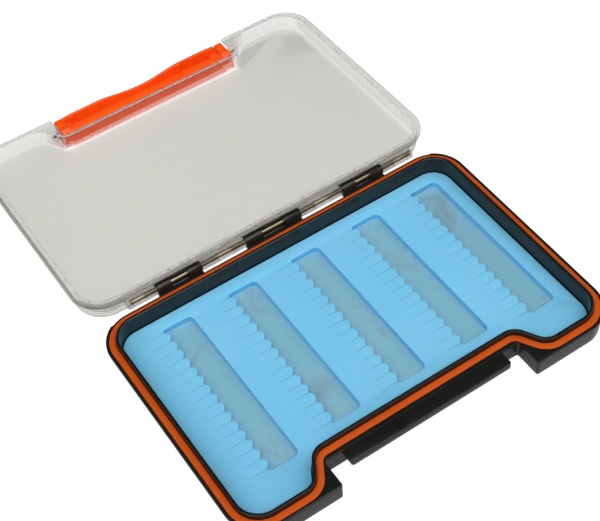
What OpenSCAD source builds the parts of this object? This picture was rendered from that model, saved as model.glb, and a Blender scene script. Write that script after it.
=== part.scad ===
// Slim waterproof fly box: a black tray with a slitted silicone insert, an
// orange sealing ring, a clear lid on a long pin hinge, and an orange latch
// that swings on two short pins in the lid's front notch.
// Frame: origin at the centre of the tray's underside, +X along the hinge,
// +Y towards the hinge, -Y towards the latch, +Z up. Drawn with the lid laid
// open flat behind the tray and the latch swung out, as it lies on a table.

/* [Seal line] */
// half width of the seal's centre line
seal_x = 79.75; // [76:0.25:84]
// distance of the seal's centre line from the middle, front and rear
seal_y = 51.9; // [50:0.1:54]
// how far the front notch sets the seal line back
notch_in = 12; // [11:0.25:13]
// corner radius of the seal line
seal_r = 11.65; // [9:0.05:14]
// half width of the sealing ring
ring_w = 1.37; // [1:0.01:1.6]

/* [Tray] */
// height of the tray's top face
tray_h = 9.9; // [8.5:0.1:11]
// thickness of the tray's floor
floor_t = 1.3; // [1:0.1:1.6]
// how far the top flange stands outside the seal line
flange_out = 2.6; // [2.2:0.1:3]
// height of the bevel around the foot of the tray
foot_bevel = 2.1; // [1:0.1:2.5]
// height of the inner rim above the tray's top face
rim_up = 2.1; // [1:0.1:2.4]
// half width of the front notch in the tray
notch_x = 43.1; // [42:0.1:44]
// half length of the ledge that the latch hooks under
ledge_x = 35.4; // [30:0.1:36]

/* [Insert] */
// top of the silicone insert
insert_top = 4.4; // [4:0.1:5]
// width of each slot
slot_w = 12.7; // [11:0.1:13.5]
// distance from one slot to the next
slot_pitch = 29.25; // [28.5:0.05:29.5]
// how far each finger tip stands out into its slot
tip_out = 1.55; // [0.8:0.05:2]
// length of the slit between two fingers
slit_len = 7.5; // [5:0.5:9]

/* [Hinge] */
// distance of the hinge axis behind the middle
hinge_y = 56.5; // [56.3:0.1:57]
// height of the hinge axis
hinge_z = 11.4; // [11.2:0.1:11.6]
// outer radius of the hinge barrels
barrel_r = 2.2; // [2:0.05:2.25]
// radius of the hinge pin
pin_r = 0.9; // [0.7:0.05:1.1]
// clearance of the pin in its bores
pin_gap = 0.05; // [0.02:0.01:0.1]

/* [Lid] */
// height of the closed lid's outer face
lid_top = 19.4; // [18.5:0.1:21]
// wall thickness of the lid
lid_t = 1.6; // [1.3:0.1:2]
// how far the lid is folded back from closed
lid_open = 181.8; // [180:0.1:183]

/* [Latch] */
// height of the latch pivot above the tray's underside, lid closed
pivot_z = 12.2; // [12:0.05:12.4]
// distance of the latch pivot in front of the middle
pivot_y = 45.0; // [44.8:0.05:45.1]
// half length of the latch
latch_x = 42.5; // [41.5:0.1:42.6]
// wall thickness of the latch
latch_t = 1.5; // [1.2:0.1:1.6]

/* [Hidden] */

$fn = 48;
STEPS = 6;                       // steps in each corner arc
lobe_x = 55.3;                   // centre of the lobe arcs
lobe_r = 8.8;
nook_x = 40.5;                   // centre of the notch arcs
nook_r = 4.8;
body_half = seal_x + 0.05;       // tray body, below its flange
body_rear = seal_y + 0.2;
front_y = -seal_y - flange_out;
notch_back = -seal_y + notch_in - flange_out - 0.75;
tray_in = -2.72;                 // offset of the tray's inner wall
BASE_KNUCKLES = [[-53.1, -33.1, -46.8, -39.2], [-13, 13, -5.2, 5.2], [33.1, 53.1, 39.6, 47]];
LID_KNUCKLES = [[-66, -53.35, -63.8, -58.6], [-32.85, -13.25, -25.8, -19.4],
                [13.25, 32.85, 19.6, 26.2], [53.35, 68, 58.4, 64.2]];
SLOTS = [-2, -1, 0, 1, 2];

// points of an arc, both ends included
function arc(cx, cy, r, a0, a1, n = STEPS) =
    [for (i = [0:n]) let(a = a0 + (a1 - a0) * i / n) [cx + r * cos(a), cy + r * sin(a)]];

// the seal line moved outwards by d: four round corners and a front notch
function seal_line(d) = concat(
    arc(seal_x - seal_r, seal_y - seal_r, seal_r + d, 0, 90),
    arc(-seal_x + seal_r, seal_y - seal_r, seal_r + d, 90, 180),
    arc(-seal_x + seal_r, -seal_y + seal_r, seal_r + d, 180, 270),
    arc(-lobe_x, -seal_y + lobe_r, lobe_r + d, 270, 330),
    arc(-nook_x, -seal_y + notch_in - nook_r, nook_r - d, 150, 90),
    arc(nook_x, -seal_y + notch_in - nook_r, nook_r - d, 90, 30),
    arc(lobe_x, -seal_y + lobe_r, lobe_r + d, 210, 270),
    arc(seal_x - seal_r, -seal_y + seal_r, seal_r + d, 270, 360));

// outer outline of the tray: straight-sided notch of half width nx back to nb,
// c = radius of its corners, s = how far the outline is drawn in
function tray_line(hx, yr, yf, r, s, nx = notch_x, nb = notch_back, c = 0.9) = let (e = max(c - s, 0.12)) concat(
    arc(hx - r, yr - r, r - s, 0, 90),
    arc(-hx + r, yr - r, r - s, 90, 180),
    arc(-hx + r, yf + r, r - s, 180, 270),
    arc(-nx - s - e, yf + s + e, e, 270, 360),
    arc(-nx + c, nb - c, c + s, 180, 90),
    arc(nx - c, nb - c, c + s, 90, 0),
    arc(nx + s + e, yf + s + e, e, 180, 270),
    arc(hx - r, yf + r, r - s, 270, 360));

// skin through a stack of outlines with the same number of points
module loft(lines, heights) {
    m = len(lines[0]);
    k = len(lines);
    polyhedron(
        points = [for (i = [0:k - 1]) for (p = lines[i]) [p[0], p[1], heights[i]]],
        faces = concat(
            [[for (j = [0:m - 1]) j]],
            [[for (j = [0:m - 1]) (k - 1) * m + m - 1 - j]],
            [for (i = [0:k - 2]) for (j = [0:m - 1])
                [i * m + j, (i + 1) * m + j, (i + 1) * m + (j + 1) % m, i * m + (j + 1) % m]]),
        convexity = 8);
}

module slab(points, z0, z1) {
    translate([0, 0, z0]) linear_extrude(height = z1 - z0, convexity = 8) polygon(points);
}

module rod(x0, x1, r, y, z) {
    translate([x0, y, z]) rotate([0, 90, 0]) cylinder(r = r, h = x1 - x0);
}

// a box given by its low and high corners
module block(a, b) {
    translate(a) cube([b[0] - a[0], b[1] - a[1], b[2] - a[2]]);
}

// ---------------------------------------------------------------- tray
// one skin: foot, side, top flange, seal groove, inner rim and well
module tray_shell() {
    fl = tray_line(seal_x + flange_out, seal_y + 2.05, front_y, 13.5, 0);
    bl = tray_line(body_half, body_rear, front_y, 12, 0);
    ft = tray_line(body_half, body_rear, front_y, 12, foot_bevel);
    loft([ft, bl, bl, fl, fl,
          seal_line(ring_w), seal_line(ring_w), seal_line(-ring_w), seal_line(-ring_w),
          seal_line(-1.45), seal_line(-1.45), seal_line(tray_in), seal_line(tray_in)],
         [0, foot_bevel, tray_h - 4.05, tray_h - 1.5, tray_h,
          tray_h, tray_h - 2, tray_h - 2, tray_h,
          tray_h, tray_h + rim_up, tray_h + rim_up, floor_t]);
}

module base_tray() color([0.10, 0.11, 0.11]) {
    difference() {
        union() {
            tray_shell();
            // ledge under which the latch hooks
            slab([[-ledge_x, notch_back + 0.5], [-ledge_x, notch_back - 5.15], [-ledge_x + 0.5, notch_back - 5.65],
                  [ledge_x - 0.5, notch_back - 5.65], [ledge_x, notch_back - 5.15], [ledge_x, notch_back + 0.5]],
                 tray_h - 3, tray_h - 0.04);
            // hinge knuckles with their webs
            for (k = BASE_KNUCKLES) {
                rod(k[0], k[1], barrel_r, hinge_y, hinge_z);
                block([k[0], seal_y + 1.6, tray_h - 2.2], [k[1], hinge_y + 0.4, tray_h - 0.05]);
            }
        }
        // pin bore and the moulding windows
        for (k = BASE_KNUCKLES) {
            rod(k[0] - 1, k[1] + 1, pin_r + pin_gap, hinge_y, hinge_z);
            block([k[2], hinge_y - 2.6, tray_h], [k[3], hinge_y + 0.3, hinge_z + 3]);
        }
    }
}

// ---------------------------------------------------------------- soft parts
module gasket() color([0.80, 0.33, 0.10]) {
    difference() {
        slab(seal_line(ring_w), tray_h - 2, tray_h + 0.03);
        slab(seal_line(-ring_w), tray_h - 3, tray_h + 1);
    }
}

// one slot's outline: x0 = mouth of the slits, first slit at ys, n fingers
function slot_line(x0, ys, step, n, rear, front) = concat(
    [[x0 + 1.2, rear], [x0, rear - 0.2]],
    [for (j = [0:n - 1]) let(y = ys - j * step) for (p = [
        [x0, y + 0.22], [x0 - slit_len, y + 0.05], [x0 - slit_len, y - 0.05], [x0, y - 0.22],
        [x0 + tip_out * 0.58, y - step * 0.13], [x0 + tip_out * 0.85, y - step * 0.28],
        [x0 + tip_out, y - step * 0.46],
        [x0 + tip_out * 0.62, y - step * 0.68], [x0 + tip_out * 0.28, y - step * 0.86]]) p],
    [[x0, ys - n * step + 0.22], [x0 - slit_len, ys - n * step + 0.05],
     [x0 - slit_len, ys - n * step - 0.05], [x0, ys - n * step - 0.22], [x0 + 0.6, front]],
    arc(x0 + slot_w - 2.3, front + 2.3, 2.3, 270, 360, 4),
    arc(x0 + slot_w - 2.5, rear - 2.5, 2.5, 0, 90, 4));

module silicone_insert() color([0.47, 0.75, 0.90]) {
    difference() {
        slab(seal_line(tray_in - 0.5), insert_top - 2.6, insert_top);
        for (i = SLOTS) let(outer = abs(i) == 2, x0 = -0.65 + i * slot_pitch)
            slab(outer ? slot_line(x0, 41.6, 4.836, 15, 43, -32.4)
                       : slot_line(x0, 41.3, 4.945, 14, 43, -29.0),
                 insert_top - 3, insert_top + 1);
    }
}

module insert_backing() color([0.48, 0.66, 0.74]) {
    slab(seal_line(tray_in - 0.9), insert_top - 2.95, insert_top - 2.6);
}

module adhesive_film() color([0.85, 0.86, 0.84]) {
    slab(seal_line(tray_in - 1.0), floor_t, insert_top - 2.95);
}

// ---------------------------------------------------------------- hinge pin
module hinge_pin() color([0.71, 0.66, 0.47]) {
    rod(-64.3, 67.6, pin_r, hinge_y, hinge_z);
}

// ---------------------------------------------------------------- lid
module lid_closed() {
    in_d = -0.9;
    out_d = in_d + lid_t;
    // the flange over the sealing ring follows the tray's outline, a little narrower at the front and rear
    flange = tray_line(seal_x + flange_out, seal_y + 2, -seal_y - 1.5, 13.5, 0, notch_x + 0.05, -seal_y + notch_in - 1.1, 1.0);
    difference() {
        union() {
            // one skin: inside, sealing edge, flange, side wall, rounded shoulder, top
            loft([seal_line(in_d), seal_line(in_d), seal_line(out_d), seal_line(out_d), flange, flange,
                  seal_line(out_d), seal_line(out_d), seal_line(out_d - 0.2), seal_line(out_d - 0.75), seal_line(out_d - 1.6)],
                 [lid_top - lid_t, tray_h + 0.1, tray_h + 0.1, tray_h + 0.2, tray_h + 0.2, tray_h + 1.6,
                  tray_h + 1.6, lid_top - 1.6, lid_top - 0.85, lid_top - 0.25, lid_top]);
            // hinge barrels and their webs
            for (k = LID_KNUCKLES) {
                rod(k[0], k[1], barrel_r, hinge_y, hinge_z);
                block([k[0] + 0.02, seal_y - 0.3, tray_h + 0.42], [k[1] - 0.02, hinge_y - 0.7, tray_h + 2.13]);
            }
            // bosses that hold the latch pins
            for (s = [-1, 1]) {
                rod(s < 0 ? -46.4 : 43.3, s < 0 ? -43.3 : 46.4, 1.9, -pivot_y, pivot_z + 0.05);
                block([s < 0 ? -45.8 : 43.35, -pivot_y - 1.1, tray_h + 0.45], [s < 0 ? -43.35 : 45.8, -pivot_y + 2.5, pivot_z - 0.1]);
            }
        }
        // pin bores and the moulding windows
        for (i = [0:3]) let(k = LID_KNUCKLES[i]) {
            rod(i == 0 ? -64.6 : k[0] - 1, k[1] + 1, pin_r + pin_gap, hinge_y, hinge_z);
            block([k[2], hinge_y - 0.2, hinge_z - 3], [k[3], hinge_y + 2.6, hinge_z + 0.8]);
        }
        for (s = [-1, 1])
            rod(s < 0 ? -46.3 : 43, s < 0 ? -43 : 46.3, 0.55, -pivot_y, pivot_z);
    }
}

module open_with_lid() {
    translate([0, hinge_y, hinge_z]) rotate([-lid_open, 0, 0]) translate([0, -hinge_y, -hinge_z])
        children();
}

module lid() color([0.85, 0.85, 0.82]) open_with_lid() lid_closed();

// ---------------------------------------------------------------- latch
module latch_pins() color([0.72, 0.72, 0.73]) open_with_lid() {
    for (s = [-1, 1])
        rod(s < 0 ? -46.2 : 39.4, s < 0 ? -39.4 : 46.2, 0.55, -pivot_y, pivot_z);
}

// drawn swung out: outer face up, hooks in front, in the closed lid's frame
module latch_out() {
    yn = -pivot_y + 2.65;            // near wall, outer side
    yf = -pivot_y - 7.7;             // hook wall, outer side
    rail_z = pivot_z - 1.1;          // top of the near rail
    zt = lid_top - 0.2;              // outer face
    tip = pivot_z - 1.5;             // end of the hook wall
    grip = 18.9;
    difference() {
        union() {
            // outer face
            slab([[-latch_x + 4, yn], [-latch_x + 4, yf + 0.9], [-latch_x + 4.9, yf], [latch_x - 4.9, yf],
                  [latch_x - 4, yf + 0.9], [latch_x - 4, yn]], zt - latch_t, zt);
            // thick rail along the near side
            block([-latch_x + 4, yn - 3.8, rail_z], [latch_x - 4, yn, zt]);
            // far wall: two long hooks, dished between them at the thumb grip
            translate([0, yf + latch_t - 0.1, 0]) rotate([90, 0, 0]) linear_extrude(height = latch_t - 0.1)
                polygon(concat([[-latch_x + 4.9, zt], [-latch_x + 4.9, tip + 0.2], [-35.2, tip + 0.2], [-35.2, tip], [-grip - 1.2, tip]],
                               [for (i = [-6:6]) [i * grip / 6.5, tip + 2 * pow(cos(90 * i / 6.5), 2)]],
                               [[grip + 1.2, tip], [35.2, tip], [35.2, tip + 0.2], [latch_x - 4.9, tip + 0.2], [latch_x - 4.9, zt]]));
            // floor of the grip, near half
            block([-grip, -pivot_y - 2.05, pivot_z + 0.1], [grip, yn - 0.3, zt - 0.1]);
            // cross ribs, low where the tray's ledge comes between them
            for (x = [-35.2, -grip - 1.2, grip, 34])
                block([x, yf + 0.2, pivot_z + 4.4], [x + 1.2, yn - 0.2, zt]);
            for (x = [-35.2, -grip - 1.2, grip, 34])
                block([x + 0.02, -pivot_y - 2.0, pivot_z], [x + 1.18, yn - 0.3, zt - 0.1]);
            // floors of the small end pockets
            for (s = [-1, 1])
                block([s < 0 ? -latch_x + 3.9 : 35.7, yf + 0.8, pivot_z + 2.2], [s < 0 ? -35.7 : latch_x - 3.9, yn - 0.2, zt - 0.15]);
            // end arms around the pins
            for (s = [-1, 1]) {
                rod(s < 0 ? -latch_x : latch_x - 4.1, s < 0 ? -latch_x + 4.1 : latch_x, 1.95, -pivot_y, pivot_z);
                translate([s < 0 ? -latch_x : latch_x - 4.1, 0, 0]) rotate([90, 0, 90])
                    linear_extrude(height = 4.1)
                        polygon([[-pivot_y + 1.5, rail_z], [yn - 0.6, rail_z + 0.05], [yn, rail_z + 0.6], [yn, zt - 1.6], [yn - 1.6, zt],
                                 [yf + 1.6, zt], [yf + 0.1, zt - 1.6], [yf + 0.1, tip + 0.6], [yf + 0.7, tip + 0.05]]);
            }
        }
        for (s = [-1, 1])
            rod(s < 0 ? -latch_x - 1 : latch_x - 3.3, s < 0 ? -latch_x + 3.3 : latch_x + 1, 0.6, -pivot_y, pivot_z);
    }
}

module latch() color([1.0, 0.35, 0.08]) open_with_lid() latch_out();

// ---------------------------------------------------------------- drawing
base_tray();
gasket();
silicone_insert();
insert_backing();
adhesive_film();
hinge_pin();
lid();
latch_pins();
latch();
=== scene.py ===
import bpy, bmesh, math
from mathutils import Matrix, Vector

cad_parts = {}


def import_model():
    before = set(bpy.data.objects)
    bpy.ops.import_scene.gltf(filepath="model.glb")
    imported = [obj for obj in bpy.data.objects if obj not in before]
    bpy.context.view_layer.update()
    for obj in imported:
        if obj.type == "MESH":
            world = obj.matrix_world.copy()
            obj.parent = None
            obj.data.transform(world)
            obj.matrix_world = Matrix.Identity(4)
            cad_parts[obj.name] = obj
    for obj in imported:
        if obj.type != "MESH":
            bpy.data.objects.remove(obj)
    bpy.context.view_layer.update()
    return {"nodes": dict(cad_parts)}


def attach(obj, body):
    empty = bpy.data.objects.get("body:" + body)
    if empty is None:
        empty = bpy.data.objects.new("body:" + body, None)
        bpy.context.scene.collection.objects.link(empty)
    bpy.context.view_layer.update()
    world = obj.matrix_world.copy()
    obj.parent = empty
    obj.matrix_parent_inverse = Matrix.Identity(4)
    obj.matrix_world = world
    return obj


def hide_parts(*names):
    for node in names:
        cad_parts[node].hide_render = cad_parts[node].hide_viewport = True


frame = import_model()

MM = 0.001
sin = lambda a: math.sin(math.radians(a))
cos = lambda a: math.cos(math.radians(a))

# ------------------------------------------------------------------ dimensions (mm)
SX, SY, NOTCH, SR, RW = 79.75, 51.9, 12.0, 11.65, 1.37
TRAY_H, FLOOR_T, FLANGE, FOOT, RIM_UP = 9.9, 1.3, 2.6, 2.1, 1.7
NX, LEDGE = 43.1, 35.4
LOBE_X, LOBE_R, NOOK_X, NOOK_R = 55.3, 8.8, 40.5, 4.8
NB = -SY + NOTCH - FLANGE - 0.75
HY, HZ, BR, PR = 56.5, 11.4, 2.2, 0.95
LID_TOP, LID_OPEN = 19.4, 181.8
PY, PZ = -45.0, 12.2
BASE_K = [(-53.1, -33.1, -46.8, -39.2), (-13, 13, -5.2, 5.2), (33.1, 53.1, 39.6, 47)]
LID_K = [(-66, -53.35, -63.8, -58.6), (-32.85, -13.25, -25.8, -19.4),
         (13.25, 32.85, 19.6, 26.2), (53.35, 68, 58.4, 64.2)]

OPEN = (Matrix.Translation(Vector((0, HY, HZ))) @ Matrix.Rotation(math.radians(-LID_OPEN), 4, 'X')
        @ Matrix.Translation(Vector((0, -HY, -HZ))))


# ------------------------------------------------------------------ camera
cam_data = bpy.data.cameras.new("camera")
cam_data.lens = 80.5
cam_data.sensor_width = 36.0
cam_data.sensor_fit = 'HORIZONTAL'
cam_data.clip_start = 0.01
cam = bpy.data.objects.new("camera", cam_data)
bpy.context.scene.collection.objects.link(cam)
cam.matrix_world = Matrix(((0.829878, 0.458656, -0.317706, -0.165675),
                           (-0.55524, 0.622886, -0.551109, -0.250773),
                           (-0.054875, 0.633756, 0.771584, 0.412341),
                           (0, 0, 0, 1)))
bpy.context.scene.camera = cam


# ------------------------------------------------------------------ outlines
def arc(cx, cy, r, a0, a1, n=20):
    return [(cx + r * cos(a0 + (a1 - a0) * i / n), cy + r * sin(a0 + (a1 - a0) * i / n)) for i in range(n + 1)]


def seal(d, n=20):
    return (arc(SX - SR, SY - SR, SR + d, 0, 90, n) + arc(-SX + SR, SY - SR, SR + d, 90, 180, n)
            + arc(-SX + SR, -SY + SR, SR + d, 180, 270, n) + arc(-LOBE_X, -SY + LOBE_R, LOBE_R + d, 270, 330, n)
            + arc(-NOOK_X, -SY + NOTCH - NOOK_R, NOOK_R - d, 150, 90, n)
            + arc(NOOK_X, -SY + NOTCH - NOOK_R, NOOK_R - d, 90, 30, n)
            + arc(LOBE_X, -SY + LOBE_R, LOBE_R + d, 210, 270, n) + arc(SX - SR, -SY + SR, SR + d, 270, 360, n))


def outer(w, s, n=20):
    """Tray outline from the body (w=0) to the flange (w=1), drawn in by s."""
    hx = SX + 0.05 + w * (FLANGE - 0.05)
    yr = SY + 0.2 + w * (FLANGE - 0.2)
    r = 12 + w * 2.25
    yf = -SY - FLANGE
    lr = 0.9
    re = max(lr - s, 0.12)
    pts = (arc(hx - r, yr - r, r - s, 0, 90, n) + arc(-hx + r, yr - r, r - s, 90, 180, n)
           + arc(-hx + r, yf + r, r - s, 180, 270, n)
           + arc(-NX - s - re, yf + s + re, re, 270, 360, n)
           + arc(-NX + lr, NB - lr, lr + s, 180, 90, n) + arc(NX - lr, NB - lr, lr + s, 90, 0, n)
           + arc(NX + s + re, yf + s + re, re, 180, 270, n)
           + arc(hx - r, yf + r, r - s, 270, 360, n))
    # the flange is thinner behind the hinge, with a small step at each rear corner
    out = []
    for x, y in pts:
        if y > 40 and abs(x) < 75.4:
            t = min(1.0, (75.4 - abs(x)) / 0.7)
            y -= 0.55 * w * t
        out.append((x, y))
    return out


# ------------------------------------------------------------------ mesh helpers
def make(name, verts, faces, mat=None, smooth=38, m=None):
    me = bpy.data.meshes.new(name)
    if m is not None:
        verts = [tuple(m @ Vector(v)) for v in verts]
    me.from_pydata([(x * MM, y * MM, z * MM) for x, y, z in verts], [], faces)
    me.validate()
    ob = bpy.data.objects.new(name, me)
    bpy.context.scene.collection.objects.link(ob)
    if mat:
        me.materials.append(mat)
    shade(ob, smooth)
    return ob


def shade(ob, angle=38):
    me = ob.data
    me.shade_smooth()
    if angle:
        me.set_sharp_from_angle(angle=math.radians(angle))


def loft_data(rings, closed=False):
    """Skin through rings of (points, z); caps on the first and last unless closed."""
    m = len(rings[0][0])
    verts = [(x, y, z) for pts, z in rings for x, y in pts]
    faces = []
    k = len(rings)
    for i in range(k if closed else k - 1):
        a, b = i * m, ((i + 1) % k) * m
        for j in range(m):
            j2 = (j + 1) % m
            faces.append((a + j, a + j2, b + j2, b + j))
    if not closed:
        faces.append(tuple(reversed(range(m))))
        faces.append(tuple(range((k - 1) * m, k * m)))
    return verts, faces


def loft(name, rings, mat=None, closed=False, smooth=38, m=None):
    v, f = loft_data(rings, closed)
    return make(name, v, f, mat, smooth, m)


def rounded(profile):
    """Round the corners of a profile of (a, b, radius) into points (a, b)."""
    out = []
    n = len(profile)
    for i, (a, b, r) in enumerate(profile):
        if r <= 0 or i in (0, n - 1):
            out.append((a, b))
            continue
        p0, p1, p2 = Vector(profile[i - 1][:2]), Vector((a, b)), Vector(profile[i + 1][:2])
        u, v = (p0 - p1).normalized(), (p2 - p1).normalized()
        s, e = p1 + u * r, p1 + v * r
        for t in (0, 0.25, 0.5, 0.75, 1):
            q = s * (1 - t) ** 2 + p1 * 2 * t * (1 - t) + e * t * t
            out.append((q[0], q[1]))
    return out


def bevel_box(lo, hi, b=0.25, seg=2, skip=None):
    bm = bmesh.new()
    bmesh.ops.create_cube(bm, size=1)
    for v in bm.verts:
        v.co = Vector([lo[i] + (v.co[i] + 0.5) * (hi[i] - lo[i]) for i in range(3)])
    if b:
        bmesh.ops.bevel(bm, geom=list(bm.edges), offset=b, segments=seg, profile=0.5, affect='EDGES', clamp_overlap=True)
    return bm


def lathe_x(x0, x1, ro, ri, y, z, b=0.2, n=64):
    """A tube along X with rounded rims, or a solid rod when ri is 0."""
    bm = bmesh.new()
    prof = []
    for t in (0, 30, 60, 90):
        prof.append((x0 + b - b * cos(t), ro - b + b * sin(t)))
    for t in (90, 60, 30, 0):
        prof.append((x1 - b + b * cos(t), ro - b + b * sin(t)))
    if ri:
        prof += [(x1, ri + 0.08), (x1 - 0.08, ri), (x0 + 0.08, ri), (x0, ri + 0.08)]
    rows = []
    for (px, r) in prof:
        rows.append([bm.verts.new((px, y + r * math.cos(2 * math.pi * k / n), z + r * math.sin(2 * math.pi * k / n))) for k in range(n)])
    kk = len(rows)
    for i in range(kk if ri else kk - 1):
        a, c = rows[i], rows[(i + 1) % kk]
        for k in range(n):
            bm.faces.new((a[k], c[k], c[(k + 1) % n], a[(k + 1) % n]))
    if not ri:
        bm.faces.new(list(reversed(rows[0])))
        bm.faces.new(rows[-1])
    bmesh.ops.recalc_face_normals(bm, faces=list(bm.faces))
    return bm


def prism_x(x0, x1, poly, b=0.2, seg=2):
    """A prism along X from a (y, z) polygon, with bevelled edges."""
    bm = bmesh.new()
    a = [bm.verts.new((x0, y, z)) for y, z in poly]
    c = [bm.verts.new((x1, y, z)) for y, z in poly]
    n = len(poly)
    bm.faces.new(a)
    bm.faces.new(list(reversed(c)))
    for i in range(n):
        bm.faces.new((a[i], c[i], c[(i + 1) % n], a[(i + 1) % n]))
    bmesh.ops.recalc_face_normals(bm, faces=list(bm.faces))
    if b:
        bmesh.ops.bevel(bm, geom=list(bm.edges), offset=b, segments=seg, profile=0.5, affect='EDGES', clamp_overlap=True)
    return bm


def prism_z(poly, z0, z1, b=0.0, seg=2):
    bm = bmesh.new()
    a = [bm.verts.new((x, y, z0)) for x, y in poly]
    c = [bm.verts.new((x, y, z1)) for x, y in poly]
    n = len(poly)
    bm.faces.new(a)
    bm.faces.new(list(reversed(c)))
    for i in range(n):
        bm.faces.new((a[i], c[i], c[(i + 1) % n], a[(i + 1) % n]))
    bmesh.ops.recalc_face_normals(bm, faces=list(bm.faces))
    if b:
        edges = [e for e in bm.edges if e.calc_face_angle(0) > math.radians(50)]
        bmesh.ops.bevel(bm, geom=edges, offset=b, segments=seg, profile=0.5, affect='EDGES', clamp_overlap=True)
    return bm


def obj(bm, name="tmp", mat=None, smooth=38, m=None):
    if m is not None:
        bm.transform(m)
    bm.transform(Matrix.Scale(MM, 4))
    me = bpy.data.meshes.new(name)
    bm.to_mesh(me)
    bm.free()
    ob = bpy.data.objects.new(name, me)
    bpy.context.scene.collection.objects.link(ob)
    if mat:
        me.materials.append(mat)
    shade(ob, smooth)
    return ob


def boolean(target, tools, op):
    """Union or cut; a union that would lose the target itself is left out and named."""
    for t in tools:
        mod = target.modifiers.new("b", 'BOOLEAN')
        mod.operation = op
        mod.solver = 'EXACT'
        mod.object = t
        dg = bpy.context.evaluated_depsgraph_get()
        dg.update()
        me = bpy.data.meshes.new_from_object(target.evaluated_get(dg))
        target.modifiers.clear()
        if op == 'UNION' and len(me.vertices) < 0.6 * len(target.data.vertices):
            print("union left out:", target.name, t.name)
            bpy.data.meshes.remove(me)
            continue
        old = target.data
        target.data = me
        bpy.data.meshes.remove(old)
    for t in tools:
        me = t.data
        bpy.data.objects.remove(t)
        bpy.data.meshes.remove(me)
    return target


def join(target, others, name=None):
    bm = bmesh.new()
    bm.from_mesh(target.data)
    for o in others:
        bm.from_mesh(o.data)
    bm.to_mesh(target.data)
    bm.free()
    for o in others:
        me = o.data
        bpy.data.objects.remove(o)
        bpy.data.meshes.remove(me)
    return target


# ------------------------------------------------------------------ materials
def material(name):
    m = bpy.data.materials.new(name)
    m.use_nodes = True
    nt = m.node_tree
    b = nt.nodes["Principled BSDF"]
    return m, nt, b


def noise(nt, scale, detail=4.0, rough=0.55, dist=0.0, vec=None, stretch=None):
    tc = nt.nodes.new("ShaderNodeTexCoord")
    mp = nt.nodes.new("ShaderNodeMapping")
    nt.links.new(tc.outputs["Object"], mp.inputs["Vector"])
    if stretch:
        mp.inputs["Scale"].default_value = stretch
    n = nt.nodes.new("ShaderNodeTexNoise")
    n.inputs["Scale"].default_value = scale
    n.inputs["Detail"].default_value = detail
    n.inputs["Roughness"].default_value = rough
    n.inputs["Distortion"].default_value = dist
    nt.links.new(mp.outputs["Vector"], n.inputs["Vector"])
    return n


def ramp(nt, src, stops):
    r = nt.nodes.new("ShaderNodeValToRGB")
    el = r.color_ramp.elements
    while len(el) < len(stops):
        el.new(0.5)
    for e, (p, c) in zip(el, stops):
        e.position = p
        e.color = (*c, 1) if len(c) == 3 else c
    nt.links.new(src, r.inputs["Fac"])
    return r


def remap(nt, src, a0, a1, b0, b1):
    n = nt.nodes.new("ShaderNodeMapRange")
    n.inputs["From Min"].default_value = a0
    n.inputs["From Max"].default_value = a1
    n.inputs["To Min"].default_value = b0
    n.inputs["To Max"].default_value = b1
    nt.links.new(src, n.inputs["Value"])
    return n.outputs["Result"]


def bump(nt, src, b, strength, dist, prev=None):
    n = nt.nodes.new("ShaderNodeBump")
    n.inputs["Strength"].default_value = strength
    n.inputs["Distance"].default_value = dist
    nt.links.new(src, n.inputs["Height"])
    if prev is not None:
        nt.links.new(prev.outputs["Normal"], n.inputs["Normal"])
    nt.links.new(n.outputs["Normal"], b.inputs["Normal"])
    return n


def mat_black():
    m, nt, b = material("black_abs")
    big = noise(nt, 45, 3)
    fine = noise(nt, 2600, 3, 0.6)
    b.inputs["Roughness"].default_value = 0.3
    col = ramp(nt, big.outputs["Fac"], [(0.3, (0.0072, 0.0082, 0.0070)), (0.7, (0.0105, 0.0115, 0.0098))])
    nt.links.new(col.outputs["Color"], b.inputs["Base Color"])
    scuff = noise(nt, 320, 5, 0.7, 0.6, stretch=(1, 0.35, 1))
    nt.links.new(remap(nt, scuff.outputs["Fac"], 0.35, 0.75, 0.15, 0.24), b.inputs["Roughness"])
    b.inputs["IOR"].default_value = 1.46
    p = bump(nt, big.outputs["Fac"], b, 0.03, 0.0003)
    bump(nt, fine.outputs["Fac"], b, 0.06, 0.00003, p)
    return m


def mat_gasket():
    m, nt, b = material("orange_seal")
    big = noise(nt, 90, 3)
    fine = noise(nt, 3200, 2, 0.6)
    col = ramp(nt, big.outputs["Fac"], [(0.3, (0.49, 0.064, 0.001)), (0.7, (0.57, 0.080, 0.002))])
    nt.links.new(col.outputs["Color"], b.inputs["Base Color"])
    nt.links.new(remap(nt, big.outputs["Fac"], 0.3, 0.7, 0.50, 0.62), b.inputs["Roughness"])
    b.inputs["Specular IOR Level"].default_value = 0.22
    bump(nt, fine.outputs["Fac"], b, 0.15, 0.00003)
    return m


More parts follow.
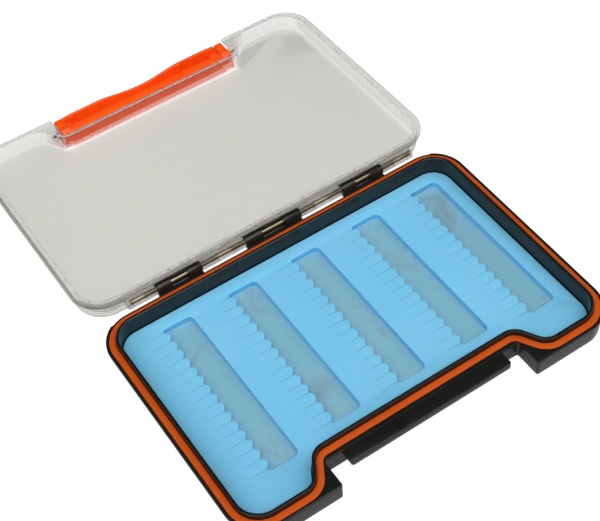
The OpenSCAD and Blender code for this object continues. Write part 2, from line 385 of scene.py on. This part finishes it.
def mat_silicone():
    m, nt, b = material("blue_silicone")
    big = noise(nt, 16, 3)
    mid = noise(nt, 160, 4)
    fine = noise(nt, 2400, 3, 0.65)
    col = ramp(nt, big.outputs["Fac"], [(0.25, (0.165, 0.520, 0.775)), (0.75, (0.195, 0.560, 0.800))])
    # painted light: cut walls are painted a deeper blue than the face, standing in for light carried through the
    # silicone
    geo = nt.nodes.new("ShaderNodeNewGeometry")
    xyz = nt.nodes.new("ShaderNodeSeparateXYZ")
    nt.links.new(geo.outputs["Normal"], xyz.inputs[0])
    ab = nt.nodes.new("ShaderNodeMath")
    ab.operation = 'ABSOLUTE'
    nt.links.new(xyz.outputs["Z"], ab.inputs[0])
    mx = nt.nodes.new("ShaderNodeMix")
    mx.data_type = 'RGBA'
    nt.links.new(remap(nt, ab.outputs[0], 0.15, 0.75, 0.0, 1.0), mx.inputs[0])
    mx.inputs[6].default_value = (0.115, 0.480, 0.820, 1)
    nt.links.new(col.outputs["Color"], mx.inputs[7])
    nt.links.new(mx.outputs[2], b.inputs["Base Color"])
    nt.links.new(remap(nt, mid.outputs["Fac"], 0.3, 0.7, 0.48, 0.60), b.inputs["Roughness"])
    b.inputs["Subsurface Weight"].default_value = 0.25
    b.inputs["Subsurface Radius"].default_value = (0.25, 0.6, 1.0)
    b.inputs["Subsurface Scale"].default_value = 0.0018
    b.inputs["Specular IOR Level"].default_value = 0.35
    b.inputs["IOR"].default_value = 1.41
    b.inputs["Sheen Weight"].default_value = 0.12
    p = bump(nt, mid.outputs["Fac"], b, 0.08, 0.0002)
    bump(nt, fine.outputs["Fac"], b, 0.10, 0.00004, p)
    return m


def mat_backing():
    m, nt, b = material("milky_backing")
    big = noise(nt, 48, 5, 0.62, 0.9)
    mid = noise(nt, 190, 4, 0.6)
    fine = noise(nt, 1500, 3, 0.6)
    col = ramp(nt, big.outputs["Fac"], [(0.28, (0.195, 0.315, 0.410)), (0.45, (0.215, 0.450, 0.555)),
                                        (0.62, (0.195, 0.435, 0.555)), (0.80, (0.230, 0.475, 0.585))])
    nt.links.new(col.outputs["Color"], b.inputs["Base Color"])
    nt.links.new(remap(nt, mid.outputs["Fac"], 0.3, 0.7, 0.34, 0.52), b.inputs["Roughness"])
    b.inputs["Coat Weight"].default_value = 0.25
    b.inputs["Coat Roughness"].default_value = 0.25
    p = bump(nt, mid.outputs["Fac"], b, 0.10, 0.0002)
    bump(nt, fine.outputs["Fac"], b, 0.06, 0.00003, p)
    return m


def mat_film():
    m, nt, b = material("adhesive_film")
    n1 = noise(nt, 300, 4)
    col = ramp(nt, n1.outputs["Fac"], [(0.3, (0.62, 0.63, 0.60)), (0.7, (0.74, 0.75, 0.72))])
    nt.links.new(col.outputs["Color"], b.inputs["Base Color"])
    b.inputs["Roughness"].default_value = 0.5
    bump(nt, n1.outputs["Fac"], b, 0.2, 0.00005)
    return m


def mat_clear():
    m, nt, b = material("clear_styrene")
    big = noise(nt, 14, 2)
    mid = noise(nt, 260, 4, 0.6)
    tc = nt.nodes.new("ShaderNodeTexCoord")
    xyz = nt.nodes.new("ShaderNodeSeparateXYZ")
    nt.links.new(tc.outputs["Normal"], xyz.inputs[0])
    ab = nt.nodes.new("ShaderNodeMath")
    ab.operation = 'ABSOLUTE'
    nt.links.new(xyz.outputs["Z"], ab.inputs[0])
    # painted light: the thin wall behind the latch is made clearer than the rest, so that more light reaches the latch
    # seen through it
    pos = nt.nodes.new("ShaderNodeSeparateXYZ")
    nt.links.new(tc.outputs["Object"], pos.inputs[0])
    side = nt.nodes.new("ShaderNodeMath")
    side.operation = 'ABSOLUTE'
    nt.links.new(pos.outputs["X"], side.inputs[0])
    painted_light_mask = remap(nt, ab.outputs[0], 0.2, 0.45, 1.0, 0.0)
    for part in (remap(nt, side.outputs[0], 0.0425, 0.0440, 1.0, 0.0), remap(nt, pos.outputs["Y"], 0.1495, 0.1510, 0.0, 1.0)):
        mul = nt.nodes.new("ShaderNodeMath")
        mul.operation = 'MULTIPLY'
        nt.links.new(painted_light_mask, mul.inputs[0])
        nt.links.new(part, mul.inputs[1])
        painted_light_mask = mul.outputs[0]
    # painted light: the plastic's tint is painted paler on upright faces than on flat ones, so that more light passes
    # the walls
    painted_light_tint = ramp(nt, ab.outputs[0], [(0.45, (0.43, 0.42, 0.40)), (0.95, (0.262, 0.255, 0.215))])
    mx = nt.nodes.new("ShaderNodeMix")
    mx.data_type = 'RGBA'
    nt.links.new(painted_light_mask, mx.inputs[0])
    nt.links.new(painted_light_tint.outputs["Color"], mx.inputs[6])
    mx.inputs[7].default_value = (0.80, 0.79, 0.77, 1)
    nt.links.new(mx.outputs[2], b.inputs["Base Color"])
    b.inputs["Alpha"].default_value = 0.5
    b.inputs["Transmission Weight"].default_value = 1.0
    b.inputs["IOR"].default_value = 1.33
    nt.links.new(remap(nt, mid.outputs["Fac"], 0.45, 0.8, 0.015, 0.07), b.inputs["Roughness"])
    p = bump(nt, big.outputs["Fac"], b, 0.10, 0.0006)
    bump(nt, mid.outputs["Fac"], b, 0.04, 0.00003, p)
    # light from the lamps reaches what is behind the plastic
    path = nt.nodes.new("ShaderNodeLightPath")
    pane = nt.nodes.new("ShaderNodeBsdfTransparent")
    pane.inputs["Color"].default_value = (0.90, 0.90, 0.88, 1)
    mix = nt.nodes.new("ShaderNodeMixShader")
    nt.links.new(path.outputs["Is Shadow Ray"], mix.inputs[0])
    nt.links.new(b.outputs[0], mix.inputs[1])
    nt.links.new(pane.outputs[0], mix.inputs[2])
    nt.links.new(mix.outputs[0], nt.nodes["Material Output"].inputs["Surface"])
    return m


def mat_edge():
    """The lid's sealing edge: ground flat, so paler than the polished faces."""
    m, nt, b = material("clear_edge")
    mid = noise(nt, 420, 4, 0.6)
    fine = noise(nt, 2400, 3, 0.6)
    col = ramp(nt, mid.outputs["Fac"], [(0.3, (0.60, 0.58, 0.565)), (0.7, (0.70, 0.685, 0.665))])
    nt.links.new(col.outputs["Color"], b.inputs["Base Color"])
    nt.links.new(remap(nt, mid.outputs["Fac"], 0.3, 0.7, 0.24, 0.36), b.inputs["Roughness"])
    b.inputs["Transmission Weight"].default_value = 0.45
    b.inputs["IOR"].default_value = 1.4
    bump(nt, fine.outputs["Fac"], b, 0.10, 0.00003)
    return m


def mat_orange():
    m, nt, b = material("orange_latch")
    big = noise(nt, 60, 3)
    fine = noise(nt, 2200, 3, 0.6)
    col = ramp(nt, big.outputs["Fac"], [(0.3, (0.98, 0.085, 0.002)), (0.7, (1.0, 0.110, 0.005))])
    nt.links.new(col.outputs["Color"], b.inputs["Base Color"])
    nt.links.new(remap(nt, big.outputs["Fac"], 0.3, 0.7, 0.30, 0.40), b.inputs["Roughness"])
    b.inputs["Subsurface Weight"].default_value = 0.15
    b.inputs["Subsurface Radius"].default_value = (1.0, 0.25, 0.05)
    b.inputs["Subsurface Scale"].default_value = 0.0015
    b.inputs["IOR"].default_value = 1.5
    bump(nt, fine.outputs["Fac"], b, 0.10, 0.00003)
    return m


def mat_pin():
    m, nt, b = material("drawn_steel")
    streak = noise(nt, 900, 3, 0.6, stretch=(0.05, 1, 1))
    dull = noise(nt, 120, 3)
    col = ramp(nt, dull.outputs["Fac"], [(0.3, (0.34, 0.29, 0.17)), (0.7, (0.46, 0.40, 0.26))])
    nt.links.new(col.outputs["Color"], b.inputs["Base Color"])
    b.inputs["Metallic"].default_value = 1.0
    nt.links.new(remap(nt, streak.outputs["Fac"], 0.3, 0.7, 0.24, 0.42), b.inputs["Roughness"])
    bump(nt, streak.outputs["Fac"], b, 0.12, 0.00004)
    return m


BLACK, SEAL, SIL, BACK, FILM, CLEAR, EDGE, ORANGE, PIN = (mat_black(), mat_gasket(), mat_silicone(), mat_backing(),
                                                         mat_film(), mat_clear(), mat_edge(), mat_orange(), mat_pin())


def assign(node, mat):
    o = bpy.data.objects.get(node)
    if o is None:
        o = frame["nodes"][node]
    if o.material_slots:
        for s in o.material_slots:
            s.material = mat
    else:
        o.data.materials.append(mat)


assign("insert_backing", BACK)
assign("adhesive_film", FILM)
assign("hinge_pin", PIN)
assign("latch_pins", PIN)


# ------------------------------------------------------------------ tray
def tray():
    rings = []
    for s, z in [(FOOT + 0.45, 0), (FOOT + 0.12, 0.06), (FOOT - 0.1, 0.24)]:
        rings.append((outer(0, s), z))
    for s, z in [(0.22, FOOT - 0.1), (0.06, FOOT + 0.12), (0, FOOT + 0.45)]:
        rings.append((outer(0, s), z))
    rings += [(outer(0, 0), 5.55), (outer(0.05, 0), 5.8), (outer(0.95, 0), 8.3), (outer(1, 0), 8.55),
              (outer(1, 0), 9.5), (outer(1, 0.05), 9.7), (outer(1, 0.18), 9.85), (outer(1, 0.4), 9.9)]
    rings += [(seal(RW + 0.30), 9.9), (seal(RW + 0.12), 9.86), (seal(RW + 0.03), 9.76), (seal(RW), 9.6), (seal(RW), 7.9),
              (seal(-RW), 7.9), (seal(-RW), 9.7), (seal(-1.41), 9.86), (seal(-1.45), 10.1), (seal(-1.47), 11.82),
              (seal(-1.51), 11.92), (seal(-1.59), 11.98), (seal(-1.70), 12.0), (seal(-2.28), 12.0), (seal(-2.50), 11.95),
              (seal(-2.65), 11.83), (seal(-2.71), 11.64), (seal(-2.72), 1.7), (seal(-2.82), 1.42), (seal(-3.12), 1.3)]
    t = loft("tray", rings, BLACK, smooth=32)
    parts = []
    # latch ledge
    x, y0, y1, zt = LEDGE, NB + 0.6, NB - 5.65, TRAY_H - 0.02
    led = prism_z([(-x, y0), (-x, y1 + 0.7), (-x + 0.7, y1), (x - 0.7, y1), (x, y1 + 0.7), (x, y0)], zt - 3, zt, 0.35, 3)
    parts.append(obj(led, "ledge", BLACK))
    # hinge knuckles
    for k in BASE_K:
        bar = obj(lathe_x(k[0], k[1], BR, PR, HY, HZ, 0.28), "bar", BLACK)
        cut = obj(bevel_box((k[2], HY - 3, HZ - 1.35), (k[3], HY + 0.75, HZ + 3), 0.3, 3), "cut", BLACK)
        boolean(bar, [cut], 'DIFFERENCE')
        parts.append(bar)
        parts.append(obj(prism_x(k[0] + 0.02, k[1] - 0.02, [(SY + 1.2, TRAY_H - 2.6), (HY - 0.3, TRAY_H - 0.6), (HY - 1.15, TRAY_H + 0.4),
                                                (HY - 1.7, TRAY_H - 0.04), (SY + 1.2, TRAY_H - 0.04)], 0.12, 2), "web", BLACK))
    join(t, parts)
    shade(t, 32)
    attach(t, "tray")
    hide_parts("base_tray")
    return t


def gasket():
    zb, zt = 7.9, 9.95
    prof = [(RW - 0.02, zb), (RW - 0.02, zt - 0.45), (RW - 0.06, zt - 0.22), (RW - 0.18, zt - 0.07), (RW - 0.4, zt),
            (0.0, zt + 0.01), (-RW + 0.4, zt), (-RW + 0.18, zt - 0.07), (-RW + 0.06, zt - 0.22), (-RW + 0.02, zt - 0.45), (-RW + 0.02, zb)]
    g = loft("seal_ring", [(seal(d), z) for d, z in prof], SEAL, closed=True, smooth=40)
    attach(g, "tray")
    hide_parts("gasket")
    return g


# ------------------------------------------------------------------ insert
def slot_outline(x0, ys, step, n, rear, front, grow=0.0):
    """Slot with finger tips and slits; grow widens it for the rounded top edge."""
    g = grow
    out = [(x0 + 1.3, rear + g), (x0 + 0.15 - g, rear + g - 0.15)]
    for j in range(n + 1):
        y = ys - j * step
        w = 0.05 + g * 0.45
        out += [(x0 - 0.05 - g * 0.3, y + w + 0.06), (x0 - 0.8, y + w * 0.8), (x0 - 4.2, y + w * 0.45), (x0 - 7.4, y + 0.02),
                (x0 - 7.4, y - 0.02), (x0 - 4.2, y - w * 0.45), (x0 - 0.8, y - w * 0.8)]
        if j < n:
            out.append((x0 - 0.05 - g * 0.3, y - w - 0.06))
            for t in (0.07, 0.13, 0.20, 0.28, 0.36, 0.42, 0.45, 0.48, 0.54, 0.62, 0.70, 0.78, 0.86, 0.93):
                # ogive: full on the rear side, straighter on the front side
                if t <= 0.45:
                    h = (sin(t / 0.45 * 78) / sin(78)) ** 0.72
                else:
                    h = ((1 - t) / 0.55) ** 1.12
                if t in (0.42, 0.45, 0.48):
                    h *= 0.965
                out.append((x0 + 1.66 * h - g, y - step * t))
    out.append((x0 - 0.05, ys - n * step - 0.14 - g))
    out.append((x0 + 0.55, front - g))
    r1, r2 = 2.2 + g, 2.5 + g
    out += arc(x0 + 12.7 - 2.2, front + 2.2, r1, 270, 360, 10)
    out += arc(x0 + 12.7 - 2.5, rear - 2.5, r2, 0, 90, 10)
    return out


def insert():
    SL = [(-59.15, 41.6, 4.836, 15, 43.0, -32.4), (-29.9, 41.3, 4.945, 14, 43.0, -29.0), (-0.65, 41.3, 4.945, 14, 43.0, -29.0),
          (28.6, 41.3, 4.945, 14, 43.0, -29.0), (57.85, 41.6, 4.836, 15, 43.0, -32.4)]
    zb, zt = 1.8, 4.4
    levels = [(zt, 0.16, 0.22), (zt - 0.05, 0.07, 0.10), (zt - 0.16, 0.0, 0.03), (zt - 0.4, 0.0, 0.0), (zb, -0.05, 0.0)]
    bm = bmesh.new()
    loops_by_level = []
    for z, g, edge in levels:
        loops = []
        pts = seal(-3.20 - edge)
        loops.append([bm.verts.new((x, y, z)) for x, y in pts])
        for s in SL:
            loops.append([bm.verts.new((x, y, z)) for x, y in slot_outline(*s, grow=g)])
        loops_by_level.append(loops)
    for a, b in zip(loops_by_level[:-1], loops_by_level[1:]):
        for la, lb in zip(a, b):
            n = len(la)
            for i in range(n):
                try:
                    bm.faces.new((la[i], lb[i], lb[(i + 1) % n], la[(i + 1) % n]))
                except ValueError:
                    pass
    bm.normal_update()
    # top and bottom skins with the slots left open
    for loops in (loops_by_level[0], loops_by_level[-1]):
        edges = []
        for l in loops:
            n = len(l)
            for i in range(n):
                e = bm.edges.get((l[i], l[(i + 1) % n]))
                if e:
                    edges.append(e)
        bmesh.ops.triangle_fill(bm, use_beauty=True, use_dissolve=False, edges=edges)
    bmesh.ops.recalc_face_normals(bm, faces=list(bm.faces))
    ins = obj(bm, "silicone_mat", SIL, smooth=50)
    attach(ins, "tray")
    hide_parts("silicone_insert")
    return ins


# ------------------------------------------------------------------ lid
def lid_rim(s, n=20):
    """Outline of the lid's flange: straight beside the latch, drawn in by s."""
    hx, yr, yf, r, nx, nb, lr = SX + FLANGE, SY + 2.0, -SY - 1.5, 13.5, 43.2, -SY + NOTCH - 1.2, 0.9
    re = max(lr - s, 0.12)
    return (arc(hx - r, yr - r, r - s, 0, 90, n) + arc(-hx + r, yr - r, r - s, 90, 180, n)
            + arc(-hx + r, yf + r, r - s, 180, 270, n)
            + arc(-nx - s - re, yf + s + re, re, 270, 360, n)
            + arc(-nx + lr, nb - lr, lr + s, 180, 90, n) + arc(nx - lr, nb - lr, lr + s, 90, 0, n)
            + arc(nx + s + re, yf + s + re, re, 180, 270, n)
            + arc(hx - r, yf + r, r - s, 270, 360, n))


def lid():
    ind, od = -0.9, 0.7
    rings = [(seal(ind - 1.6), 17.8), (seal(ind - 0.8), 17.68), (seal(ind - 0.25), 17.3), (seal(ind - 0.02), 16.6),
             (seal(ind), 15.5), (seal(ind), 10.35), (seal(ind + 0.1), 10.12), (seal(ind + 0.35), 10.02),
             (seal(od - 0.15), 10.02), (seal(od), 10.1)]
    rings += [(lid_rim(q), z) for q, z in [(0.22, 10.06), (0.06, 10.12), (0, 10.3), (0, 11.3), (0.06, 11.44), (0.22, 11.5)]]
    rings += [(seal(od + 0.12), 11.5), (seal(od + 0.03), 11.56), (seal(od), 11.75), (seal(od), 17.3), (seal(od - 0.10), 18.0),
              (seal(od - 0.38), 18.6), (seal(od - 0.85), 19.08), (seal(od - 1.5), 19.34), (seal(od - 2.3), 19.4)]
    l = loft("lid_shell", rings, CLEAR, smooth=30)
    tools = []
    for k in LID_K:
        tools.append(obj(lathe_x(k[0], k[1], BR, 0, HY, HZ, 0.25), "bar", CLEAR))
        tools.append(obj(bevel_box((k[0] + 0.3, SY - 0.2, TRAY_H + 0.46), (k[1] - 0.3, HY - 0.6, TRAY_H + 2.1), 0.15, 1), "web", CLEAR))
    for s in (-1, 1):
        a, b = (43.3, 46.4) if s > 0 else (-46.4, -43.3)
        tools.append(obj(lathe_x(a, b, 1.9, 0, PY, PZ + 0.05, 0.2), "boss", CLEAR))
        a, b = (43.4, 45.8) if s > 0 else (-45.8, -43.4)
        tools.append(obj(bevel_box((a, PY - 1.1, TRAY_H + 0.45), (b, PY + 2.43, PZ - 0.1), 0.12, 1), "bossweb", CLEAR))
    boolean(l, tools, 'UNION')
    cuts = []
    for i, k in enumerate(LID_K):
        x0 = -64.6 if i == 0 else k[0] - 1
        cuts.append(obj(lathe_x(x0, k[1] + 1, PR, 0, HY, HZ, 0.05), "bore", CLEAR))
        cuts.append(obj(bevel_box((k[2], HY - 0.2, HZ - 3), (k[3], HY + 2.7, HZ + 0.8), 0.2, 2), "win", CLEAR))
    for s in (-1, 1):
        a, b = (42.8, 46.3) if s > 0 else (-46.3, -42.8)
        cuts.append(obj(lathe_x(a, b, 0.57, 0, PY, PZ, 0.05), "pinhole", CLEAR))
    boolean(l, cuts, 'DIFFERENCE')
    while len(l.data.materials) > 1:
        l.data.materials.pop()
    l.data.materials.append(EDGE)
    for f in l.data.polygons:
        f.material_index = int(abs(f.center.z - 10.02 * MM) < 0.03 * MM and f.normal.z < -0.9)
    l.data.transform(Matrix.Scale(MM, 4) @ OPEN @ Matrix.Scale(1 / MM, 4))
    shade(l, 30)
    l.name = "clear_lid"
    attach(l, "lid")
    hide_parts("lid")
    return l


# ------------------------------------------------------------------ latch
def latch():
    """Drawn in the closed lid's frame, swung out: outer face up, hooks in front."""
    yn, yf, zt = PY + 2.65, PY - 7.7, LID_TOP - 0.2
    tip, rail = PZ - 1.5, PZ - 1.1
    yi = yn - 3.8
    LX, G = 42.5, 18.9
    e = LX - 4
    plan = [(-e, yn), (-e, yf + 0.5), (-e + 0.15, yf + 0.15), (-e + 0.5, yf), (e - 0.5, yf), (e - 0.15, yf + 0.15), (e, yf + 0.5), (e, yn)]
    body = obj(prism_z(plan, rail, zt, 0.3, 3), "latch_body", ORANGE)
    # far wall: two long hooks, dished between them at the thumb grip
    top = [(-e + 0.3, tip + 0.2), (-35.6, tip + 0.18), (-35.0, tip + 0.03), (-34.4, tip), (-G - 2.0, tip)]
    for i in range(-14, 15):
        u = i / 14.6
        top.append(((G + 0.6) * u, tip + 2.25 * cos(90 * u) ** 1.35 + 0.02))
    top += [(G + 2.0, tip), (34.4, tip), (35.0, tip + 0.03), (35.6, tip + 0.18), (e - 0.3, tip + 0.2)]
    wall = [(-e + 0.3, zt - 1.0)] + top + [(e - 0.3, zt - 1.0)]
    bm = bmesh.new()
    f0 = [bm.verts.new((x, yf, z)) for x, z in wall]
    f1 = [bm.verts.new((x, yf + 1.4, z)) for x, z in wall]
    n = len(wall)
    bm.faces.new(f0)
    bm.faces.new(list(reversed(f1)))
    for i in range(n):
        bm.faces.new((f0[i], f1[i], f1[(i + 1) % n], f0[(i + 1) % n]))
    bmesh.ops.recalc_face_normals(bm, faces=list(bm.faces))
    lip = [ed for ed in bm.edges if ed.calc_face_angle(0) > math.radians(50) and abs(ed.verts[0].co.y - ed.verts[1].co.y) < 0.01]
    bmesh.ops.bevel(bm, geom=lip, offset=0.28, segments=3, profile=0.5, affect='EDGES', clamp_overlap=True)
    cuts = []
    z0 = PZ - 5
    # the body's own far edge makes room for the wall
    cuts.append(obj(bevel_box((-50, yf - 1, z0), (50, yf + 1.36, zt - 1.5), 0, 1), "far", ORANGE))
    boolean(body, cuts, 'DIFFERENCE')
    boolean(body, [obj(bm, "wall", ORANGE)], 'UNION')
    cuts = []
    for s in (-1, 1):
        # hook pockets
        a, b = sorted((s * 20.1, s * 34.0))
        cuts.append(obj(bevel_box((a, yf + 1.35, z0), (b, yi, zt - 1.4), 0.3, 3), "pocket", ORANGE))
        a, b = sorted((s * 35.2, s * 38.3))
        cuts.append(obj(bevel_box((a, yf + 1.35, z0), (b, yi, PZ + 2.2), 0.35, 3), "pocket", ORANGE))
    # trough of the thumb grip: a floor at its near half, deeper where the tray's ledge comes
    slope = [(PY - 2.3, z0), (yi + 0.6, z0), (yi + 0.25, rail + 0.1), (yi - 0.35, rail + 0.75), (PY - 2.3, PZ + 0.45)]
    cuts.append(obj(prism_x(-G, G, slope, 0, 1), "trough", ORANGE))
    cuts.append(obj(bevel_box((-35.62, yf + 2.15, z0), (35.62, PY - 2.1, PZ + 4.3), 0.3, 3), "trough", ORANGE))
    cuts.append(obj(bevel_box((-G, yf + 1.35, z0), (G, yf + 3.0, PZ + 4.3), 0.3, 3), "trough", ORANGE))
    boolean(body, cuts, 'DIFFERENCE')
    arms = []
    for s in (-1, 1):
        a, b = sorted((s * (LX - 4.1), s * LX))
        poly = [(yf + 0.12, tip + 0.7), (yf + 0.35, tip + 0.2), (yf + 0.9, tip + 0.05), (PY - 1.8, rail - 0.1)]
        poly += [(PY + 1.95 * cos(t), PZ + 1.95 * sin(t)) for t in range(222, 325, 12)]
        poly += [(yn - 0.6, rail), (yn, rail + 0.6), (yn, zt - 1.6), (yn - 0.5, zt - 0.5), (yn - 1.6, zt), (yf + 1.6, zt), (yf + 0.6, zt - 0.5),
                 (yf + 0.12, zt - 1.6)]
        arm = obj(prism_x(a, b, poly, 0.45, 4), "arm", ORANGE)
        ca, cb = sorted((s * (LX - 3.3), s * (LX + 1)))
        boolean(arm, [obj(lathe_x(ca, cb, 0.62, 0, PY, PZ, 0.05), "hole", ORANGE)], 'DIFFERENCE')
        arms.append(arm)
    boolean(body, arms, 'UNION')
    # slit beside the right end arm
    slit = [obj(bevel_box((38.35, yf - 1, z0), (38.95, PY - 2.6, PZ + 3.0), 0.12, 2), "slit", ORANGE)]
    boolean(body, slit, 'DIFFERENCE')
    body.data.transform(Matrix.Scale(MM, 4) @ OPEN @ Matrix.Scale(1 / MM, 4))
    shade(body, 35)
    body.name = "latch_bar"
    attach(body, "latch")
    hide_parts("latch")
    return body


tray()
gasket()
insert()
lid()
latch()


# ------------------------------------------------------------------ stage and light
def stage():
    me = bpy.data.meshes.new("floor")
    s = 3.0
    me.from_pydata([(-s, -s, 0), (s, -s, 0), (s, s, 0), (-s, s, 0)], [], [(0, 1, 2, 3)])
    fl = bpy.data.objects.new("floor", me)
    bpy.context.scene.collection.objects.link(fl)
    m, nt, b = material("white_table")
    b.inputs["Base Color"].default_value = (0.35, 0.35, 0.35, 1)
    b.inputs["Roughness"].default_value = 0.8
    b.inputs["Emission Color"].default_value = (1, 1, 1, 1)
    path = nt.nodes.new("ShaderNodeLightPath")
    seen = nt.nodes.new("ShaderNodeMath")
    seen.operation = 'MAXIMUM'
    nt.links.new(path.outputs["Is Camera Ray"], seen.inputs[0])
    nt.links.new(path.outputs["Is Transmission Ray"], seen.inputs[1])
    nt.links.new(remap(nt, seen.outputs[0], 0, 1, 0.22, 0.86), b.inputs["Emission Strength"])
    me.materials.append(m)


def area(name, loc, target, size, power, color=(1, 1, 1)):
    d = bpy.data.lights.new(name, 'AREA')
    d.shape = 'RECTANGLE'
    d.size, d.size_y = size
    d.energy = power
    d.color = color
    o = bpy.data.objects.new(name, d)
    bpy.context.scene.collection.objects.link(o)
    o.location = loc
    o.rotation_euler = (Vector(target) - Vector(loc)).to_track_quat('-Z', 'Y').to_euler()
    return o


stage()
area("top", (-0.1, -0.35, 1.5), (0, 0.05, 0), (1.7, 1.5), 18)
area("key", (-1.2, -0.5, 1.0), (0, 0.05, 0), (1.0, 1.0), 6.5)
area("fill", (1.3, -0.4, 0.9), (0, 0.05, 0), (1.0, 1.0), 6.5)
world = bpy.context.scene.world or bpy.data.worlds.new("world")
bpy.context.scene.world = world
world.use_nodes = True
wt = world.node_tree
bg = wt.nodes.get("Background")
co = wt.nodes.new("ShaderNodeTexCoord")
dot = wt.nodes.new("ShaderNodeVectorMath")
dot.operation = 'DOT_PRODUCT'
dot.inputs[1].default_value = Vector((0.33, 0.58, 0.74)).normalized()
wt.links.new(co.outputs["Generated"], dot.inputs[0])
sky = ramp(wt, dot.outputs["Value"], [(0.30, (0.48, 0.48, 0.48)), (0.80, (0.04, 0.04, 0.04))])
path = wt.nodes.new("ShaderNodeLightPath")
through = wt.nodes.new("ShaderNodeMix")
through.data_type = 'RGBA'
wt.links.new(path.outputs["Is Transmission Ray"], through.inputs[0])
wt.links.new(sky.outputs["Color"], through.inputs[6])
through.inputs[7].default_value = (0.72, 0.71, 0.70, 1)
gloss = wt.nodes.new("ShaderNodeMix")
gloss.data_type = 'RGBA'
wt.links.new(path.outputs["Is Glossy Ray"], gloss.inputs[0])
wt.links.new(through.outputs[2], gloss.inputs[6])
dim = ramp(wt, dot.outputs["Value"], [(0.20, (0.22, 0.22, 0.22)), (0.75, (0.035, 0.035, 0.035))])
wt.links.new(dim.outputs["Color"], gloss.inputs[7])
wt.links.new(gloss.outputs[2], bg.inputs["Color"])
bg.inputs["Strength"].default_value = 1.0
bpy.context.scene.view_settings.view_transform = 'Standard'
